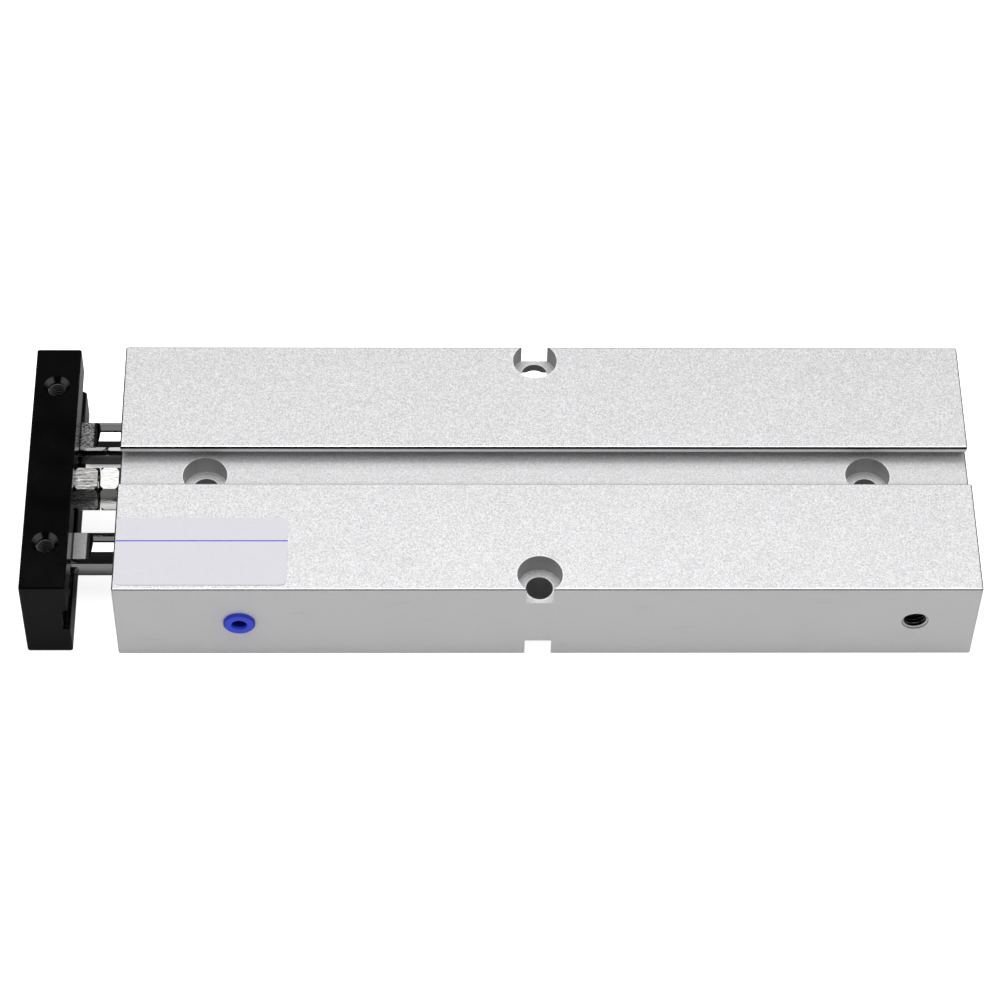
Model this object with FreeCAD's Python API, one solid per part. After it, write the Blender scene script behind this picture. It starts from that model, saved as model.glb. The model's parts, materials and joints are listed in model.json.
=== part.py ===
"""Guided twin-rod pneumatic cylinder: bore 16, stroke 100, with a fixed front plate.

Two pistons share one flat aluminium body and push one front plate, so the plate cannot turn.
Frame: +X towards the blind end, -X the way the plate moves out, +Z up, millimetres.
The origin is the centre of the four mounting holes, in the plane of the two rod axes.
Left is the side of the air ports (-Y), right is +Y. The model stands fully retracted.
"""
import FreeCAD, Part
import math
import os

# ---- Cylinder class: the stroke is what the body's length leaves for it ----
BODY_L = 160.0
BORE_D = 16.0
ROD_D = 8.0
ROD_PITCH = 26.0

# ---- Body extrusion ----
BODY_W = 57.0
BODY_H = 21.0
BODY_EDGE_R = 0.4
BODY_END_CHAMFER = 0.25

# ---- T-slots for position sensors: on both wide faces and on the side away from the ports ----
GROOVE_W = 8.5
GROOVE_DEPTH = 3.3
GROOVE_LIP_T = 1.4
GROOVE_UNDERCUT = 1.5
GROOVE_EDGE_R = 0.3

# ---- Body mounting holes ----
FRONT_HOLE_INSET = 16.0
REAR_HOLE_INSET = 19.0
SIDE_HOLE_INSET = 3.4
HOLE_D = 5.0
COUNTERBORE_D = 8.4
COUNTERBORE_DEPTH = 4.4

# ---- Air ports, M5 ----
PORT_MINOR_D = 4.2
PORT_MOUTH_D = 5.4
PASSAGE_D = 3.0
FRONT_PORT_SETBACK = 2.5
REAR_PORT_SETBACK = 3.0

# ---- Dust plug in the front port ----
PLUG_HEAD_D = 5.9
PLUG_HEAD_T = 0.7
PLUG_EDGE_R = 0.25
PLUG_STEM_L = 4.5
PLUG_HOLE_D = 3.0
PLUG_HOLE_DEPTH = 4.2

# ---- Covers held in the stepped bore ends by internal retaining rings ----
SEAT_STEP = 0.5
RING_INSET = 1.56
RING_T = 1.0
RING_GROOVE_DEPTH = 0.45
RING_RADIAL_W = 1.7
RING_GAP_ANGLE = 50.0
RING_EAR_R = 1.25
RING_EAR_HOLE_D = 1.2
GUIDE_L = 17.9
GUIDE_LIP_T = 1.3
REAR_COVER_L = 5.9
REAR_COVER_DISH_D = 10.0
REAR_COVER_DISH_DEPTH = 0.8
COVER_CHAMFER = 0.4

# ---- Seals, bushes and bumpers ----
O_RING_SECTION = 1.3
O_RING_GROOVE_W = 1.9
O_RING_SETBACK = 1.7
O_RING_BEVEL = 0.4
ROD_SEAL_SECTION = 2.0
ROD_SEAL_L = 3.2
ROD_SEAL_LIP_DEPTH = 1.2
ROD_SEAL_LAND = 1.0
BUSH_WALL = 1.0
FRONT_BUMPER_T = 4.0
REAR_BUMPER_T = 5.1
BUMPER_AIR_GAP = 2.0
REAR_BUMPER_HOLE_D = 5.0

# ---- Piston, in two halves that clamp a ring magnet ----
PISTON_FRONT_L = 8.2
MAGNET_L = 4.0
PISTON_REAR_L = 9.1
PISTON_CHAMFER = 0.4
MAGNET_HUB_D = 8.0
MAGNET_DEPTH = 0.4
ROD_SOCKET_DEPTH = 2.0
SPIGOT_D = 5.0
SPIGOT_PAST_NUT = 0.6
WEAR_RING_L = 4.0
WEAR_RING_T = 0.85
WEAR_RING_SETBACK = 2.2
PISTON_SEAL_L = 3.0
PISTON_SEAL_SECTION = 2.3
PISTON_SEAL_SETBACK = 1.0
PISTON_SEAL_LIP_DEPTH = 0.9
NUT_POCKET_DEPTH = 5.0
NUT_POCKET_D = 10.0

# ---- M5 hexagon hardware ----
HEX_AF = 8.0
NUT_T = 4.3
BOLT_HEAD_T = 3.4
HEX_CROWN_D = 8.6
HEX_CROWN_ANGLE = 62.0
THREAD_D = 5.0

# ---- Front plate ----
PLATE_W = 56.0
PLATE_H = 20.5
PLATE_T = 8.5
PLATE_EDGE_R = 0.4
PLATE_END_CHAMFER = 0.25
SLOT_DEPTH = 1.1
SLOT_EDGE_R = 0.85
PLATE_TAP_D = 3.3
PLATE_TAP_MOUTH_D = 5.0
TOP_TAP_SPACING = 36.6
TOP_TAP_OFFSET = 0.6
TOP_TAP_DEPTH = 6.5
FRONT_TAP_SPACING = 48.0
STOP_RISE = 2.9
STOP_GAP = 0.2
STOP_ADJUSTMENT = 0.6
STOP_BOLT_L = 12.0
STOP_BOLT_TURN = 5.5
NUT_TURN = 6.5

# ---- Rods and the countersunk screws that hold the plate on them ----
ROD_FLAT_AF = 5.3
ROD_FLAT_PAST_PLATE = 3.2
ROD_FLAT_RUNOUT = 0.8
ROD_TIP_CHAMFER = 0.4
SCREW_HEAD_D = 10.0
SCREW_IN_ROD = 8.0
SCREW_HOLE_SPARE = 2.0
SCREW_CLEARANCE_D = 5.5
SCREW_SOCKET_AF = 3.0
SCREW_SOCKET_DEPTH = 2.2
DRILL_TIP_ANGLE = 118.0

# ---- Label ----
LABEL_L = 31.7
LABEL_W = 15.2
LABEL_T = 0.15
LABEL_END_MARGIN = 0.35
LABEL_SIDE_MARGIN = 1.0
LABEL_CORNER_R = 1.2

# ---- Fits, all radial or per side ----
RUNNING = 0.03
PISTON_CLEARANCE = 0.06
SEATED = 0.02
FREE = 0.3

# ---- Worked out along X from the body's rod end ----
RING_GROOVE_W = RING_T + 2 * SEATED
GUIDE_START = RING_INSET + RING_GROOVE_W
GUIDE_END = GUIDE_START + GUIDE_L
REAR_COVER_END = BODY_L - RING_INSET - RING_GROOVE_W
REAR_COVER_START = REAR_COVER_END - REAR_COVER_L
PISTON_END = REAR_COVER_START - REAR_BUMPER_T - FREE
PISTON_START = PISTON_END - PISTON_FRONT_L - MAGNET_L - PISTON_REAR_L
STROKE = PISTON_START - FREE - FRONT_BUMPER_T - GUIDE_END

# ---- Worked out places in the row frame ----
ROD_END_X = -(FRONT_HOLE_INSET + (BODY_L - FRONT_HOLE_INSET - REAR_HOLE_INSET) / 2)
BLIND_END_X = ROD_END_X + BODY_L
FRONT_HOLE_X = ROD_END_X + FRONT_HOLE_INSET
REAR_HOLE_X = BLIND_END_X - REAR_HOLE_INSET
SIDE_HOLE_Y = BODY_W / 2 - SIDE_HOLE_INSET
FRONT_PORT_X = ROD_END_X + GUIDE_END + FRONT_PORT_SETBACK
REAR_PORT_X = ROD_END_X + REAR_COVER_START - REAR_PORT_SETBACK
PORT_FACE_Y = -BODY_W / 2
TOP_Z = BODY_H / 2
BOLT_FACE_X = ROD_END_X - STOP_GAP
NUT_FACE_X = BOLT_FACE_X - BOLT_HEAD_T - STOP_ADJUSTMENT
PLATE_BACK_X = NUT_FACE_X - NUT_T
PLATE_FRONT_X = PLATE_BACK_X - PLATE_T
PLATE_MID_X = (PLATE_BACK_X + PLATE_FRONT_X) / 2
SLOT_FLOOR_X = PLATE_BACK_X - SLOT_DEPTH

# ---- Worked out radii ----
BORE_R = BORE_D / 2
ROD_R = ROD_D / 2
SEAT_R = BORE_R + SEAT_STEP
RING_GROOVE_R = SEAT_R + RING_GROOVE_DEPTH
COVER_R = SEAT_R - SEATED
O_RING_FLOOR_R = COVER_R - O_RING_SECTION
ROD_SEAL_R = ROD_R + ROD_SEAL_SECTION
BUSH_R = ROD_R + BUSH_WALL
BUMPER_R = BORE_R - BUMPER_AIR_GAP
PISTON_R = BORE_R - PISTON_CLEARANCE
RING_RUN_R = BORE_R - RUNNING
THREAD_R = THREAD_D / 2

ALONG_X = FreeCAD.Vector(1, 0, 0)
ALONG_Y = FreeCAD.Vector(0, 1, 0)
ALONG_Z = FreeCAD.Vector(0, 0, 1)
SIDES = (("left", -ROD_PITCH / 2), ("right", ROD_PITCH / 2))


def point(x, y, z):
    return FreeCAD.Vector(x, y, z)


def turned(profile, y, z=0.0):
    """Revolves a closed (x, radius) profile about a line along X through (y, z)."""
    corners = [point(x, r, 0) for x, r in profile]
    face = Part.Face(Part.makePolygon(corners + corners[:1]))
    solid = face.revolve(point(0, 0, 0), ALONG_X, 360)
    solid.translate(point(0, y, z))
    return solid


def ring(x0, x1, r_in, r_out, y):
    return turned([(x0, r_in), (x1, r_in), (x1, r_out), (x0, r_out)], y)


def rod_along_x(x0, x1, r, y, z=0.0):
    return Part.makeCylinder(r, x1 - x0, point(x0, y, z), ALONG_X)


def hexagon(x0, x1, across_flats, y, z, turn):
    """A hexagon prism along X, with one flat upwards before it is turned."""
    corner_r = across_flats / math.sqrt(3)
    corners = []
    for step in range(7):
        angle = math.radians(60 * step + turn)
        corners.append(point(x0, y + corner_r * math.cos(angle), z + corner_r * math.sin(angle)))
    return Part.Face(Part.makePolygon(corners)).extrude(point(x1 - x0, 0, 0))


def crowned_hexagon(x0, x1, y, z, turn, both_ends):
    """A hexagon with its corners turned off at the +X end, or at both ends."""
    crown_r = HEX_CROWN_D / 2
    corner_r = HEX_AF / math.sqrt(3) + SEATED
    drop = (corner_r - crown_r) * math.tan(math.radians(HEX_CROWN_ANGLE))
    start = [(x0, 0), (x0, crown_r), (x0 + drop, corner_r)] if both_ends else [(x0, 0), (x0, corner_r)]
    envelope = turned(start + [(x1 - drop, corner_r), (x1, crown_r), (x1, 0)], y, z)
    return hexagon(x0, x1, HEX_AF, y, z, turn).common(envelope)


def rounded_face(corners, place):
    """A flat face from (u, v, radius) corners, each rounded by its radius; place maps (u, v) to space."""
    edges = []
    count = len(corners)
    starts, ends, mids = [], [], []
    for i in range(count):
        u, v, r = corners[i]
        here = FreeCAD.Vector(u, v, 0)
        to_last = (FreeCAD.Vector(*corners[i - 1][:2], 0) - here).normalize()
        to_next = (FreeCAD.Vector(*corners[(i + 1) % count][:2], 0) - here).normalize()
        half = to_last.getAngle(to_next) / 2
        reach = r / math.tan(half)
        starts.append(here + to_last * reach)
        ends.append(here + to_next * reach)
        inward = (to_last + to_next).normalize()
        mids.append(here + inward * (r / math.sin(half) - r))
    for i in range(count):
        if corners[i][2] > 0:
            edges.append(Part.Arc(place(starts[i]), place(mids[i]), place(ends[i])).toShape())
        edges.append(Part.LineSegment(place(ends[i]), place(starts[(i + 1) % count])).toShape())
    return Part.Face(Part.Wire(edges))


def fuse_all(shapes):
    return shapes[0].multiFuse(shapes[1:]) if len(shapes) > 1 else shapes[0]


def edges_in_plane(solid, x=None, y=None):
    """The edges of a solid that lie wholly in the plane at x, or at y."""
    found = []
    for edge in solid.Edges:
        box = edge.BoundBox
        if x is not None and abs(box.XMin - x) < 1e-6 and abs(box.XMax - x) < 1e-6:
            found.append(edge)
        if y is not None and abs(box.YMin - y) < 1e-6 and abs(box.YMax - y) < 1e-6:
            found.append(edge)
    return found


def t_slot():
    """The corners of a T-slot seen end on: (across, depth, corner radius), from edge to edge."""
    half = GROOVE_W / 2
    wide = half + GROOVE_UNDERCUT
    side = [(half, 0, GROOVE_EDGE_R), (half, GROOVE_LIP_T, 0), (wide, GROOVE_LIP_T, 0), (wide, GROOVE_DEPTH, 0)]
    return [(-across, depth, r) for across, depth, r in side] + side[::-1]


def body_extrusion():
    """The extruded bar, with a T-slot along both wide faces and along its right side."""
    half_w = BODY_W / 2
    corners = [(-half_w, -TOP_Z, BODY_EDGE_R)]
    corners += [(across, depth - TOP_Z, r) for across, depth, r in t_slot()]
    corners += [(half_w, -TOP_Z, BODY_EDGE_R)]
    corners += [(half_w - depth, across, r) for across, depth, r in t_slot()]
    corners += [(half_w, TOP_Z, BODY_EDGE_R)]
    corners += [(-across, TOP_Z - depth, r) for across, depth, r in t_slot()]
    corners += [(-half_w, TOP_Z, BODY_EDGE_R)]
    face = rounded_face(corners, lambda p: point(ROD_END_X, p.x, p.y))
    bar = face.extrude(point(BODY_L, 0, 0))
    ends = edges_in_plane(bar, x=ROD_END_X) + edges_in_plane(bar, x=BLIND_END_X)
    return bar.makeChamfer(BODY_END_CHAMFER, ends)


def stepped_bore(y):
    """One cylinder bore with a wider cover seat and a ring groove at each end."""
    a, b = ROD_END_X, BLIND_END_X
    groove_far = RING_INSET + RING_GROOVE_W
    profile = [
        (a - 1, 0), (a - 1, SEAT_R), (a + RING_INSET, SEAT_R), (a + RING_INSET, RING_GROOVE_R),
        (a + groove_far, RING_GROOVE_R), (a + groove_far, SEAT_R), (a + GUIDE_END, SEAT_R),
        (a + GUIDE_END, BORE_R), (a + REAR_COVER_START, BORE_R), (a + REAR_COVER_START, SEAT_R),
        (b - groove_far, SEAT_R), (b - groove_far, RING_GROOVE_R), (b - RING_INSET, RING_GROOVE_R),
        (b - RING_INSET, SEAT_R), (b + 1, SEAT_R), (b + 1, 0),
    ]
    return turned(profile, y)


def mounting_hole(x, y, recess):
    """A through hole with a counterbore from both faces, each starting recess below its face."""
    hole = Part.makeCylinder(HOLE_D / 2, BODY_H, point(x, y, -TOP_Z))
    depth = recess + COUNTERBORE_DEPTH
    low = Part.makeCylinder(COUNTERBORE_D / 2, depth, point(x, y, -TOP_Z))
    high = Part.makeCylinder(COUNTERBORE_D / 2, depth, point(x, y, TOP_Z - depth))
    return fuse_all([hole, low, high])


def air_port(x):
    """A tapped port from the left face into the near bore, and a passage on to the other one."""
    mouth_depth = (PORT_MOUTH_D - PORT_MINOR_D) / 2
    near_bore_y = -ROD_PITCH / 2
    centre = point(x, PORT_FACE_Y, 0)
    tap = Part.makeCylinder(PORT_MINOR_D / 2, near_bore_y - PORT_FACE_Y, centre, ALONG_Y)
    mouth = Part.makeCone(PORT_MOUTH_D / 2, PORT_MINOR_D / 2, mouth_depth, centre, ALONG_Y)
    passage = Part.makeCylinder(PASSAGE_D / 2, ROD_PITCH, point(x, near_bore_y, 0), ALONG_Y)
    return fuse_all([tap, mouth, passage])


def body():
    cuts = [stepped_bore(y) for name, y in SIDES]
    cuts += [mounting_hole(x, 0, GROOVE_DEPTH) for x in (FRONT_HOLE_X, REAR_HOLE_X)]
    cuts += [mounting_hole(0, y, 0) for y in (-SIDE_HOLE_Y, SIDE_HOLE_Y)]
    cuts += [air_port(x) for x in (FRONT_PORT_X, REAR_PORT_X)]
    solid = body_extrusion()
    for cut in cuts:
        solid = solid.cut(cut)
    return solid


def label():
    x0 = ROD_END_X + LABEL_END_MARGIN
    y0 = -BODY_W / 2 + LABEL_SIDE_MARGIN
    r = LABEL_CORNER_R
    corners = [(x0, y0, r), (x0 + LABEL_L, y0, r), (x0 + LABEL_L, y0 + LABEL_W, r), (x0, y0 + LABEL_W, r)]
    face = rounded_face(corners, lambda p: point(p.x, p.y, TOP_Z))
    return face.extrude(point(0, 0, LABEL_T))


def port_plug():
    """A hollow push-in dust plug whose head seats on the body's side."""
    stem_r = PORT_MINOR_D / 2 - RUNNING
    head_r = PLUG_HEAD_D / 2
    hole_r = PLUG_HOLE_D / 2
    top = -PLUG_HEAD_T
    profile = [
        (hole_r, top), (head_r - PLUG_EDGE_R, top), (head_r, top + PLUG_EDGE_R), (head_r, 0),
        (stem_r, 0), (stem_r, PLUG_STEM_L), (0, PLUG_STEM_L), (0, top + PLUG_HOLE_DEPTH),
        (hole_r, top + PLUG_HOLE_DEPTH),
    ]
    corners = [point(r, y, 0) for r, y in profile]
    face = Part.Face(Part.makePolygon(corners + corners[:1]))
    solid = face.revolve(point(0, 0, 0), ALONG_Y, 360)
    solid.translate(point(FRONT_PORT_X, PORT_FACE_Y, 0))
    return solid


def retaining_ring(groove_start, y):
    """An internal retaining ring: an open ring with two plier ears at its gap, gap upwards."""
    r_out = RING_GROOVE_R - SEATED
    r_in = r_out - RING_RADIAL_W
    x0 = groove_start + SEATED
    x1 = x0 + RING_T
    half_gap = math.radians(RING_GAP_ANGLE / 2)
    gap_z = 2 * r_out * math.cos(half_gap)
    gap_y = 2 * r_out * math.sin(half_gap)
    gap_corners = [point(x0, y, 0), point(x0, y + gap_y, gap_z), point(x0, y - gap_y, gap_z)]
    gap = Part.Face(Part.makePolygon(gap_corners + gap_corners[:1])).extrude(point(RING_T, 0, 0))
    solid = ring(x0, x1, r_in, r_out, y).cut(gap)
    ear_angle = half_gap + math.asin(RING_EAR_R / r_in)
    ear_z = r_in * math.cos(ear_angle)
    for side in (-1, 1):
        ear_y = y + side * r_in * math.sin(ear_angle)
        solid = solid.fuse(rod_along_x(x0, x1, RING_EAR_R, ear_y, ear_z))
        solid = solid.cut(rod_along_x(x0, x1, RING_EAR_HOLE_D / 2, ear_y, ear_z))
    return solid


def rod_guide(y):
    """The front cover: a wiper lip, a seal pocket and a bush pocket on one axis, O-ring outside."""
    a = ROD_END_X + GUIDE_START
    b = ROD_END_X + GUIDE_END
    free_r = ROD_R + FREE
    seal_a = a + GUIDE_LIP_T
    seal_b = seal_a + ROD_SEAL_L + 2 * SEATED
    bush_a = seal_b + ROD_SEAL_LAND
    ring_b = b - O_RING_SETBACK
    ring_a = ring_b - O_RING_GROOVE_W
    c = COVER_CHAMFER
    profile = [
        (a, free_r), (seal_a, free_r), (seal_a, ROD_SEAL_R), (seal_b, ROD_SEAL_R), (seal_b, free_r),
        (bush_a, free_r), (bush_a, BUSH_R), (b, BUSH_R), (b, COVER_R),
        (ring_b, COVER_R), (ring_b, O_RING_FLOOR_R), (ring_a, O_RING_FLOOR_R), (ring_a, COVER_R),
        (a + c, COVER_R), (a, COVER_R - c),
    ]
    return turned(profile, y)


def guide_bush(y):
    bush_a = ROD_END_X + GUIDE_START + GUIDE_LIP_T + ROD_SEAL_L + 2 * SEATED + ROD_SEAL_LAND
    return ring(bush_a, ROD_END_X + GUIDE_END, ROD_R + RUNNING, BUSH_R - SEATED, y)


def rod_seal(y):
    """A lip seal whose open V faces the pressure side."""
    a = ROD_END_X + GUIDE_START + GUIDE_LIP_T + SEATED
    b = a + ROD_SEAL_L
    r_in = ROD_R + RUNNING
    r_out = ROD_SEAL_R - SEATED
    r_mid = (r_in + r_out) / 2
    profile = [(a, r_in), (b, r_in), (b - ROD_SEAL_LIP_DEPTH, r_mid), (b, r_out), (a, r_out)]
    return turned(profile, y)


def o_ring(groove_start, y):
    """A ring squeezed into its groove: a bevelled section between the groove floor and the seat."""
    a = groove_start + SEATED
    b = groove_start + O_RING_GROOVE_W - SEATED
    r_in = O_RING_FLOOR_R + SEATED
    r_out = SEAT_R - SEATED
    c = O_RING_BEVEL
    profile = [
        (a + c, r_in), (b - c, r_in), (b, r_in + c), (b, r_out - c),
        (b - c, r_out), (a + c, r_out), (a, r_out - c), (a, r_in + c),
    ]
    return turned(profile, y)


def front_bumper(y):
    a = ROD_END_X + GUIDE_END
    return ring(a, a + FRONT_BUMPER_T, ROD_R + FREE, BUMPER_R, y)


def rear_bumper(y):
    b = ROD_END_X + REAR_COVER_START
    return ring(b - REAR_BUMPER_T, b, REAR_BUMPER_HOLE_D / 2, BUMPER_R, y)


def rear_cover(y):
    """The blind cover, with an O-ring groove and a dished outer face."""
    a = ROD_END_X + REAR_COVER_START
    b = ROD_END_X + REAR_COVER_END
    ring_a = a + O_RING_SETBACK
    ring_b = ring_a + O_RING_GROOVE_W
    dish_r = REAR_COVER_DISH_D / 2
    c = COVER_CHAMFER
    profile = [
        (a, 0), (a, COVER_R), (ring_a, COVER_R), (ring_a, O_RING_FLOOR_R), (ring_b, O_RING_FLOOR_R),
        (ring_b, COVER_R), (b - c, COVER_R), (b, COVER_R - c), (b, dish_r),
        (b - REAR_COVER_DISH_DEPTH, dish_r), (b - REAR_COVER_DISH_DEPTH, 0),
    ]
    return turned(profile, y)


def piston_front_half(y):
    """The half that takes the rod's shoulder and carries the wear ring."""
    a = ROD_END_X + PISTON_START
    b = a + PISTON_FRONT_L
    wear_a = a + WEAR_RING_SETBACK
    wear_b = wear_a + WEAR_RING_L + 2 * SEATED
    wear_floor_r = RING_RUN_R - WEAR_RING_T - SEATED
    c = PISTON_CHAMFER
    profile = [
        (a, ROD_R + SEATED), (a + ROD_SOCKET_DEPTH, ROD_R + SEATED),
        (a + ROD_SOCKET_DEPTH, SPIGOT_D / 2 + SEATED), (b, SPIGOT_D / 2 + SEATED), (b, PISTON_R),
        (wear_b, PISTON_R), (wear_b, wear_floor_r), (wear_a, wear_floor_r), (wear_a, PISTON_R),
        (a + c, PISTON_R), (a, PISTON_R - c),
    ]
    return turned(profile, y)


def wear_ring(y):
    a = ROD_END_X + PISTON_START + WEAR_RING_SETBACK + SEATED
    return ring(a, a + WEAR_RING_L, RING_RUN_R - WEAR_RING_T, RING_RUN_R, y)


def magnet(y):
    a = ROD_END_X + PISTON_START + PISTON_FRONT_L
    return ring(a, a + MAGNET_L, MAGNET_HUB_D / 2 + SEATED, PISTON_R - MAGNET_DEPTH, y)


def piston_rear_half(y):
    """The half with the hub that centres the magnet, the piston seal and the nut's pocket."""
    hub_a = ROD_END_X + PISTON_START + PISTON_FRONT_L
    a = hub_a + MAGNET_L
    b = a + PISTON_REAR_L
    seal_a = a + PISTON_SEAL_SETBACK
    seal_b = seal_a + PISTON_SEAL_L + 2 * SEATED
    seal_floor_r = RING_RUN_R - PISTON_SEAL_SECTION - SEATED
    c = PISTON_CHAMFER
    profile = [
        (hub_a, SPIGOT_D / 2 + SEATED), (b - NUT_POCKET_DEPTH, SPIGOT_D / 2 + SEATED),
        (b - NUT_POCKET_DEPTH, NUT_POCKET_D / 2), (b, NUT_POCKET_D / 2), (b, PISTON_R - c),
        (b - c, PISTON_R), (seal_b, PISTON_R), (seal_b, seal_floor_r), (seal_a, seal_floor_r),
        (seal_a, PISTON_R), (a, PISTON_R), (a, MAGNET_HUB_D / 2), (hub_a, MAGNET_HUB_D / 2),
    ]
    return turned(profile, y)


def piston_seal(y):
    """A double-lip seal: a V notch in each side, between the groove floor and the bore."""
    a = ROD_END_X + PISTON_START + PISTON_FRONT_L + MAGNET_L + PISTON_SEAL_SETBACK + SEATED
    b = a + PISTON_SEAL_L
    r_out = RING_RUN_R
    r_in = r_out - PISTON_SEAL_SECTION
    r_mid = (r_in + r_out) / 2
    d = PISTON_SEAL_LIP_DEPTH
    profile = [(a, r_in), (b, r_in), (b - d, r_mid), (b, r_out), (a, r_out), (a + d, r_mid)]
    return turned(profile, y)


def piston_nut(y):
    a = ROD_END_X + PISTON_END - NUT_POCKET_DEPTH
    nut = crowned_hexagon(a, a + NUT_T, y, 0, 0, both_ends=False)
    return nut.cut(rod_along_x(a, a + NUT_T, SPIGOT_D / 2 + SEATED, y))


def rod(y):
    """A chromed rod: drilled and flatted at the plate, stepped down to a spigot in the piston."""
    a = SLOT_FLOOR_X
    shoulder = ROD_END_X + PISTON_START + ROD_SOCKET_DEPTH
    tip = ROD_END_X + PISTON_END - NUT_POCKET_DEPTH + NUT_T + SPIGOT_PAST_NUT
    hole_r = THREAD_R + SEATED
    hole_end = a + SCREW_IN_ROD + SCREW_HOLE_SPARE
    tip_depth = hole_r / math.tan(math.radians(DRILL_TIP_ANGLE / 2))
    spigot_r = SPIGOT_D / 2
    c = ROD_TIP_CHAMFER
    profile = [
        (a, hole_r), (a, ROD_R - c), (a + c, ROD_R), (shoulder, ROD_R), (shoulder, spigot_r),
        (tip - c, spigot_r), (tip, spigot_r - c), (tip, 0), (hole_end + tip_depth, 0),
        (hole_end, hole_r),
    ]
    solid = turned(profile, y)
    flat_end = PLATE_BACK_X + ROD_FLAT_PAST_PLATE
    half_af = ROD_FLAT_AF / 2
    top = ROD_R + 1
    for up in (1, -1):
        corners = [
            point(a - 1, y - top, up * half_af),
            point(flat_end, y - top, up * half_af),
            point(flat_end + ROD_FLAT_RUNOUT, y - top, up * ROD_R),
            point(flat_end + ROD_FLAT_RUNOUT, y - top, up * top),
            point(a - 1, y - top, up * top),
        ]
        cutter = Part.Face(Part.makePolygon(corners + corners[:1])).extrude(point(0, 2 * top, 0))
        solid = solid.cut(cutter)
    return solid


def plate_extrusion():
    """The bar of the front plate: a slot along its back, with rolled edges, keys both rods."""
    half_h = PLATE_H / 2
    half_slot = ROD_FLAT_AF / 2 + 2 * SEATED
    corners = [
        (PLATE_FRONT_X, -half_h, PLATE_EDGE_R), (PLATE_BACK_X, -half_h, PLATE_EDGE_R),
        (PLATE_BACK_X, -half_slot, SLOT_EDGE_R), (SLOT_FLOOR_X, -half_slot, 0),
        (SLOT_FLOOR_X, half_slot, 0), (PLATE_BACK_X, half_slot, SLOT_EDGE_R),
        (PLATE_BACK_X, half_h, PLATE_EDGE_R), (PLATE_FRONT_X, half_h, PLATE_EDGE_R),
    ]
    face = rounded_face(corners, lambda p: point(p.x, -PLATE_W / 2, p.y))
    bar = face.extrude(point(0, PLATE_W, 0))
    ends = edges_in_plane(bar, y=-PLATE_W / 2) + edges_in_plane(bar, y=PLATE_W / 2)
    return bar.makeChamfer(PLATE_END_CHAMFER, ends)


def countersink(tip, towards, mouth_d, hole_d):
    """A 90 degree cone that opens from hole_d to mouth_d, with its mouth centred on tip."""
    depth = (mouth_d - hole_d) / 2
    return Part.makeCone(mouth_d / 2, hole_d / 2, depth, tip, towards)


def front_plate():
    slot_web = SLOT_FLOOR_X - PLATE_FRONT_X
    tap_r = PLATE_TAP_D / 2
    solid = plate_extrusion()
    for side in (-1, 1):
        front = point(PLATE_FRONT_X, side * FRONT_TAP_SPACING / 2, 0)
        solid = solid.cut(Part.makeCylinder(tap_r, PLATE_T, front, ALONG_X))
        solid = solid.cut(countersink(front, ALONG_X, PLATE_TAP_MOUTH_D, PLATE_TAP_D))
        top = point(PLATE_MID_X, TOP_TAP_OFFSET + side * TOP_TAP_SPACING / 2, PLATE_H / 2)
        solid = solid.cut(Part.makeCylinder(tap_r, TOP_TAP_DEPTH, top, -ALONG_Z))
        solid = solid.cut(countersink(top, -ALONG_Z, PLATE_TAP_MOUTH_D, PLATE_TAP_D))
        screw = point(PLATE_FRONT_X, side * ROD_PITCH / 2, 0)
        solid = solid.cut(Part.makeCylinder(SCREW_CLEARANCE_D / 2, slot_web, screw, ALONG_X))
        solid = solid.cut(countersink(screw, ALONG_X, SCREW_HEAD_D + 2 * SEATED, SCREW_CLEARANCE_D))
    return solid.cut(rod_along_x(PLATE_FRONT_X, PLATE_BACK_X, THREAD_R + SEATED, 0, STOP_RISE))


def plate_screw(y):
    """A countersunk socket screw from the plate's front into the rod."""
    a = PLATE_FRONT_X + SEATED
    head_t = (SCREW_HEAD_D - THREAD_D) / 2
    tip = SLOT_FLOOR_X + SCREW_IN_ROD
    profile = [(a, 0), (a, SCREW_HEAD_D / 2), (a + head_t, THREAD_R), (tip, THREAD_R), (tip, 0)]
    socket = hexagon(a, a + SCREW_SOCKET_DEPTH, SCREW_SOCKET_AF, y, 0, 0)
    return turned(profile, y).cut(socket)


def stop_bolt():
    """The hexagon bolt whose head meets the body at the end of the inward stroke."""
    head_a = BOLT_FACE_X - BOLT_HEAD_T
    head = crowned_hexagon(head_a, BOLT_FACE_X, 0, STOP_RISE, STOP_BOLT_TURN, both_ends=True)
    return head.fuse(rod_along_x(head_a - STOP_BOLT_L, head_a, THREAD_R, 0, STOP_RISE))


def lock_nut():
    nut = crowned_hexagon(PLATE_BACK_X, NUT_FACE_X, 0, STOP_RISE, NUT_TURN, both_ends=True)
    return nut.cut(rod_along_x(PLATE_BACK_X, NUT_FACE_X, THREAD_R + SEATED, 0, STOP_RISE))


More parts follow.
